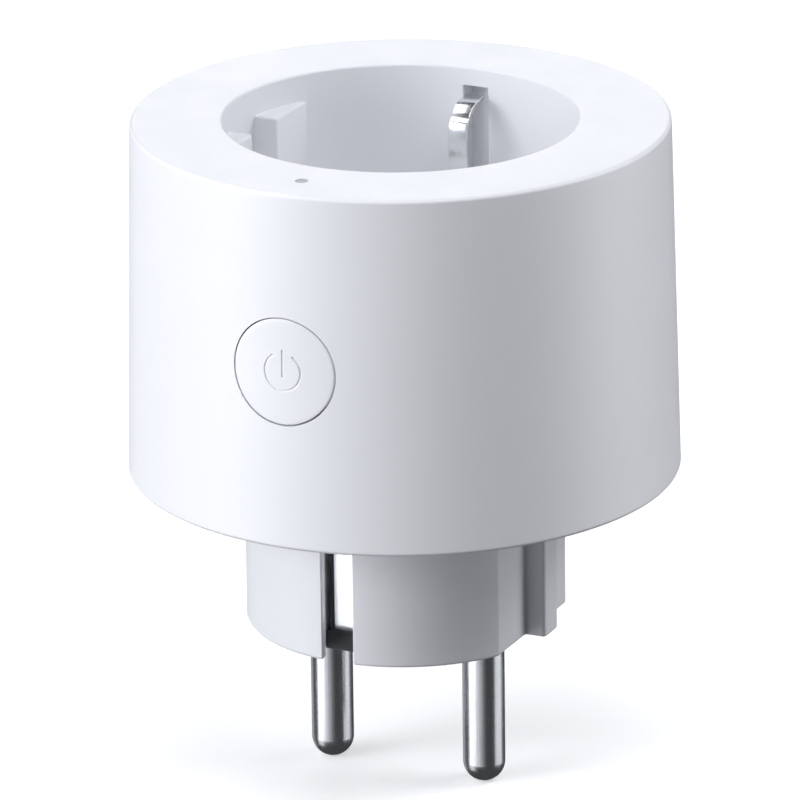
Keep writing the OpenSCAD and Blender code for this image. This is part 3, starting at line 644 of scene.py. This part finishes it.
def make_cover():
    flange_r, lip_r = BOTTOM_R - WALL - 0.15, 28.4
    flange = lathe([(flange_r, BODY_Z), (flange_r, FLANGE_TOP), (9, FLANGE_TOP), (9, BODY_Z)], 192)
    lip = lathe([(lip_r, FLANGE_TOP - 0.2), (lip_r, FLANGE_TOP + 1.2), (lip_r - 1, FLANGE_TOP + 1.2),
                 (lip_r - 1, FLANGE_TOP - 0.2)], 192)
    posts = at_spots(round_bar(2, FLANGE_TOP - 0.2, BOARD_Z, 48), POST_SPOTS)
    heads = at_spots(round_bar(2.5, BODY_Z - 1, BODY_Z + 1.2, 64), SCREW_SPOTS)
    shafts = at_spots(round_bar(1.55, BODY_Z + 1.1, FLANGE_TOP + 0.5, 48), SCREW_SPOTS)
    sockets = at_spots(round_bar(BOSS_R + 0.15, FLANGE_TOP + 0.02, FLANGE_TOP + 3, 48), SCREW_SPOTS)
    recess, root = 0.3, 1.82
    bores = at_spots(lathe([(0, -1), (PIN_R + 0.25, -1), (PIN_R + 0.25, recess), (root, recess),
                            (root, PIN_HEAD_Z), (TOWER_R, PIN_HEAD_Z), (TOWER_R, FLANGE_TOP + 1),
                            (0, FLANGE_TOP + 1)], 72), PIN_SPOTS)
    hollow = [prism(hollow_outline(), HOLLOW_LOW, PIN_HEAD_Z + 0.5),
              round_bar(HOLLOW_R + 0.01, PIN_HEAD_Z + 0.001, FLANGE_TOP + 2, 160)]
    ways = [moved(block(-2, 2, 13.95, 14.7, BODY_Z - 0.5, FLANGE_TOP + 1), turn=t) for t in (0, 180)]
    board_gap = block(-12.4, 12.4, -24.6, -23.2, FLANGE_TOP + 0.02, 30)
    return carved("plug_cover", plug_solid(), join(flange, lip, posts),
                  join(heads, shafts, sockets, bores, *hollow, *ways, board_gap))


cover = make_cover()
finish_piece(cover, "housing", "plug_plastic", ["base_cover"])

# ---------- button ----------


def groove(x, z):
    """How deep the standby symbol is cut at a place on the button, 0 to 1."""
    ring_r, half, soft, gap = 2.15, 0.10, 0.07, math.radians(35)
    r, a = math.hypot(x, z), math.atan2(x, z)
    if abs(a) > gap:
        d = abs(r - ring_r)
    else:
        d = math.hypot(abs(x) - ring_r * math.sin(gap), z - ring_r * math.cos(gap))
    d = min(d, math.hypot(x, max(z - 2.4, -0.5 - z, 0)))
    t = min(max((half - d) / soft + 0.5, 0), 1)
    return t * t * (3 - 2 * t)


def make_button():
    columns, edge, depth = 320, 0.14, 0.14
    radii = [0.04 * i for i in range(66)] + [2.7, 3.1, 3.6, 4.1, 4.6, 5.1, 5.5, BUTTON_R - edge]
    points = [(0, -body_r(BUTTON_Z) + depth * groove(0, 0), BUTTON_Z)]
    rings = [[0]]

    def add_ring(r, y_of):
        rings.append(list(range(len(points), len(points) + columns)))
        for k in range(columns):
            a = 2 * math.pi * k / columns
            x, z = r * math.cos(a), r * math.sin(a)
            points.append((x, y_of(x, z), BUTTON_Z + z))

    def face_y(x, z):
        return -math.sqrt(body_r(BUTTON_Z + z) ** 2 - x * x)
    for r in radii[1:]:
        add_ring(r, lambda x, z: face_y(x, z) + depth * groove(x, z))
    for i in range(1, 6):
        a = math.radians(18 * i)
        sunk = edge * (1 - math.cos(a))
        add_ring(BUTTON_R - edge + edge * math.sin(a), lambda x, z: face_y(x, z) + sunk)
    flange_front, flange_back = -PAD_Y + 0.1, -PAD_Y + 0.7
    for r, y in ((BUTTON_R, flange_front), (BUTTON_FLANGE_R, flange_front),
                 (BUTTON_FLANGE_R, flange_back), (BUTTON_STEM_R, flange_back),
                 (BUTTON_STEM_R, -BUTTON_STEM_Y)):
        add_ring(r, lambda x, z: y)
    rings.append([len(points)])
    points.append((0, -BUTTON_STEM_Y, BUTTON_Z))
    faces = []
    for a, b in zip(rings, rings[1:]):
        for k in range(columns):
            n = (k + 1) % columns
            if len(a) == 1:
                faces.append((a[0], b[k], b[n]))
            elif len(b) == 1:
                faces.append((a[k], b[0], a[n]))
            else:
                faces.append((a[k], b[k], b[n], a[n]))
    return mesh_object("push_button", (points, faces))


button = make_button()
finish_piece(button, "button", "button_plastic", ["button_cap"], 50)

# ---------- bent strips: earth straps and clips ----------


def bent_strip(path, width_at, thickness, edge, side):
    """A strip whose outer face follows a path of (y, z). Its long edges are rounded.
    side is 1 when the strip's body lies to the left of the path, -1 when to the right."""
    total = [0]
    for p, q in zip(path, path[1:]):
        total.append(total[-1] + math.dist(p, q))
    points, faces, rings = [], [], []
    for i, (y, z) in enumerate(path):
        p, q = path[max(i - 1, 0)], path[min(i + 1, len(path) - 1)]
        along = Vector((q[0] - p[0], q[1] - p[1])).normalized()
        inward = Vector((-along.y, along.x)) * side
        half = width_at(total[i], total[-1]) / 2
        section = []
        for cx, cd, start in ((half - edge, edge, 0), (half - edge, thickness - edge, 90),
                              (-half + edge, thickness - edge, 180), (-half + edge, edge, 270)):
            for k in range(4):
                a = math.radians(start - 90 + 90 * k / 3)
                section.append((cx + edge * math.cos(a), cd + edge * math.sin(a)))
        rings.append(list(range(len(points), len(points) + len(section))))
        points += [(x, y + inward.x * d, z + inward.y * d) for x, d in section]
    n = len(rings[0])
    for a, b in zip(rings, rings[1:]):
        faces += [(a[k], a[(k + 1) % n], b[(k + 1) % n], b[k]) for k in range(n)]
    faces += [tuple(rings[0][::-1]), tuple(rings[-1])]
    return points, faces


STRAP_Y = box("rear_earth_strap")[1].y
STRAP_LOW = box("rear_earth_strap")[0].z


def strap_shape():
    bend, top = 0.9, FLANGE_TOP - 0.02
    straight = [(STRAP_Y, top - (top - STRAP_LOW - bend) * i / 8) for i in range(8)]
    path = straight + arc(STRAP_Y - bend, STRAP_LOW + bend, bend, 0, -88, 14)

    def width(s, total):
        left = total - s
        corner = 0.6
        cut = corner - math.sqrt(max(corner ** 2 - (corner - left) ** 2, 0)) if left < corner else 0
        return STRAP_W - 2 * min(cut, 0.55)
    return bent_strip(path, width, STRAP_T, 0.08, -1)


def clip_shape():
    """Earth clip from its hook over the bead and the bowed leaf down to its foot."""
    face, tail, lean, bow_r = box("rear_earth_clip")[0].y, 5, 27, 16
    bow_z, tail_len, bead_r = FLOOR_Z + 10.5, 1.7, 5
    hook = arc(face + 3.55, bow_z + 0.75, 3.1, 90 + tail, 150, 14)
    end = (hook[0][0] + tail_len * math.cos(math.radians(tail)),
           hook[0][1] + tail_len * math.sin(math.radians(tail)))
    bead = arc(face + bead_r, bow_z, bead_r, 155, 180, 10)
    leaf = arc(face + bow_r, bow_z, bow_r, 180, 180 + lean, 16)[1:]
    drop = leaf[-1][1] - FLOOR_UNDER + 0.3
    foot = (leaf[-1][0] + drop * math.tan(math.radians(lean)), leaf[-1][1] - drop)
    path = [end] + hook + bead + leaf + [foot]
    return bent_strip(path, lambda s, total: CLIP_W, CLIP_T, 0.07, 1)


SIDES = (("front", 180), ("rear", 0))
for name, turn in SIDES:
    strap = mesh_object(name + "_strap", moved(strap_shape(), turn=turn))
    finish_piece(strap, "housing", "strap_plating", [name + "_earth_strap"], 40)
for name, turn in SIDES:
    clip = mesh_object(name + "_clip_leaf", moved(clip_shape(), turn=turn))
    finish_piece(clip, name + "_clip", "clip_plating", [name + "_earth_clip"], 40)

# ---------- camera, lights and floor ----------

VIEW_AZIMUTH, VIEW_ELEVATION, VIEW_ROLL = 25.556, 19.497, -0.726
DAYLIGHT = (0.993, 1.0, 1.045)


def direction(azimuth, elevation):
    """Unit vector from the object: azimuth 0 is the front, counted to the right; both in degrees."""
    a, e = math.radians(azimuth), math.radians(elevation)
    return Vector((math.sin(a) * math.cos(e), -math.cos(a) * math.cos(e), math.sin(e)))


def camera():
    target, distance = Vector((-0.0004, -0.0002, 0.0252)), 0.9001
    back = direction(VIEW_AZIMUTH, VIEW_ELEVATION)
    right = Vector((0, 0, 1)).cross(back).normalized()
    up = back.cross(right)
    turned = Matrix.Rotation(math.radians(VIEW_ROLL), 3, back)
    data = bpy.data.cameras.new("camera")
    data.sensor_width, data.lens = 36, 361.8
    data.clip_start, data.clip_end = 0.05, 20
    cam = bpy.data.objects.new("camera", data)
    scene.collection.objects.link(cam)
    m = Matrix([turned @ right, turned @ up, turned @ back]).transposed().to_4x4()
    m.translation = target + back * distance
    cam.matrix_world = m
    scene.camera = cam


def softbox(name, around, above, distance, width, height, watts, only=None):
    """A soft light that faces the object. around is counted from the camera, to its right.
    only limits the light to a list of pieces."""
    back = direction(VIEW_AZIMUTH + around, above)
    data = bpy.data.lights.new(name, "AREA")
    data.shape, data.size, data.size_y, data.energy = "RECTANGLE", width, height, watts
    data.color = DAYLIGHT
    light = bpy.data.objects.new(name, data)
    light.visible_camera = False
    light.location = Vector((0, 0, 0.03)) + back * distance
    light.rotation_mode = "QUATERNION"
    light.rotation_quaternion = back.to_track_quat("Z", "Y")
    scene.collection.objects.link(light)
    if only:
        lit = bpy.data.collections.new(name)
        for piece in only:
            lit.objects.link(piece)
        light.light_linking.receiver_collection = lit


camera()
softbox("key_left", -68, 10, 0.9, 0.50, 0.60, 6.5)
softbox("key_front", -45, 18, 0.9, 0.32, 0.32, 0.5)
softbox("high_left", -75, 38, 0.9, 0.90, 0.30, 0.50)
softbox("high_front", -25, 38, 0.9, 0.36, 0.32, 0.2)
softbox("top_left", -115, 60, 0.9, 0.62, 0.34, 1.8)
softbox("top_front", 4, 60, 0.9, 0.45, 0.34, 2.1)
softbox("top_right", 45, 60, 0.9, 0.36, 0.32, 0.9)
softbox("top", 0, 88, 0.9, 0.36, 0.36, 0.25)
softbox("high_right", 100, 38, 0.9, 0.50, 0.32, 2.8)
softbox("side_right", 95, 6, 0.9, 0.55, 0.60, 2.5)
softbox("rear", 180, 9, 0.9, 0.36, 0.60, 1.35)
softbox("low_left", -66, -18, 0.9, 0.66, 0.32, 1.1)
softbox("low_left_soft", -36, -18, 0.9, 0.32, 0.32, 0.30)
softbox("low_left_faint", -17, -18, 0.9, 0.28, 0.32, 0.14)
softbox("low_front", -1, -18, 0.9, 0.22, 0.32, 0.035)
softbox("low_right", 86, -18, 0.9, 0.75, 0.32, 0.68)
softbox("low_rear", -145, -25, 0.9, 0.50, 0.50, 0.3)
softbox("under_left", -75, -38, 0.9, 0.45, 0.30, 0.3)
softbox("on_strap", -27, 0, 0.4, 0.10, 0.20, 2.2, [bpy.data.objects["front_strap"]])

scene.view_settings.view_transform = "Standard"
world = bpy.data.worlds.new("world")
scene.world = world
world.use_nodes = True
world.node_tree.nodes["Background"].inputs[0].default_value = (0.93, 0.97, 1, 1)
world.node_tree.nodes["Background"].inputs[1].default_value = 0.06


def make_floor():
    k = Look("floor_paper", (0.90, 0.90, 0.90), 0.8)
    k.tint(k.ramp(k.noise(60, 3), 0.4, 0.7, 0, 0.3), (0.89, 0.89, 0.89))
    k.bump(k.noise(1.5, 3), 0.01, 0.2)
    k.shader.inputs["Emission Color"].default_value = (1, 1, 1, 1)
    k.shader.inputs["Emission Strength"].default_value = 0.38
    reach, z = 3.0, cad_low[2]
    data = bpy.data.meshes.new("floor")
    data.from_pydata([(-reach, -reach, z), (reach, -reach, z), (reach, reach, z), (-reach, reach, z)],
                     [], [(0, 1, 2, 3)])
    data.materials.append(k.done())
    floor = bpy.data.objects.new("floor", data)
    floor.visible_diffuse = floor.visible_glossy = floor.visible_shadow = False
    scene.collection.objects.link(floor)


make_floor()
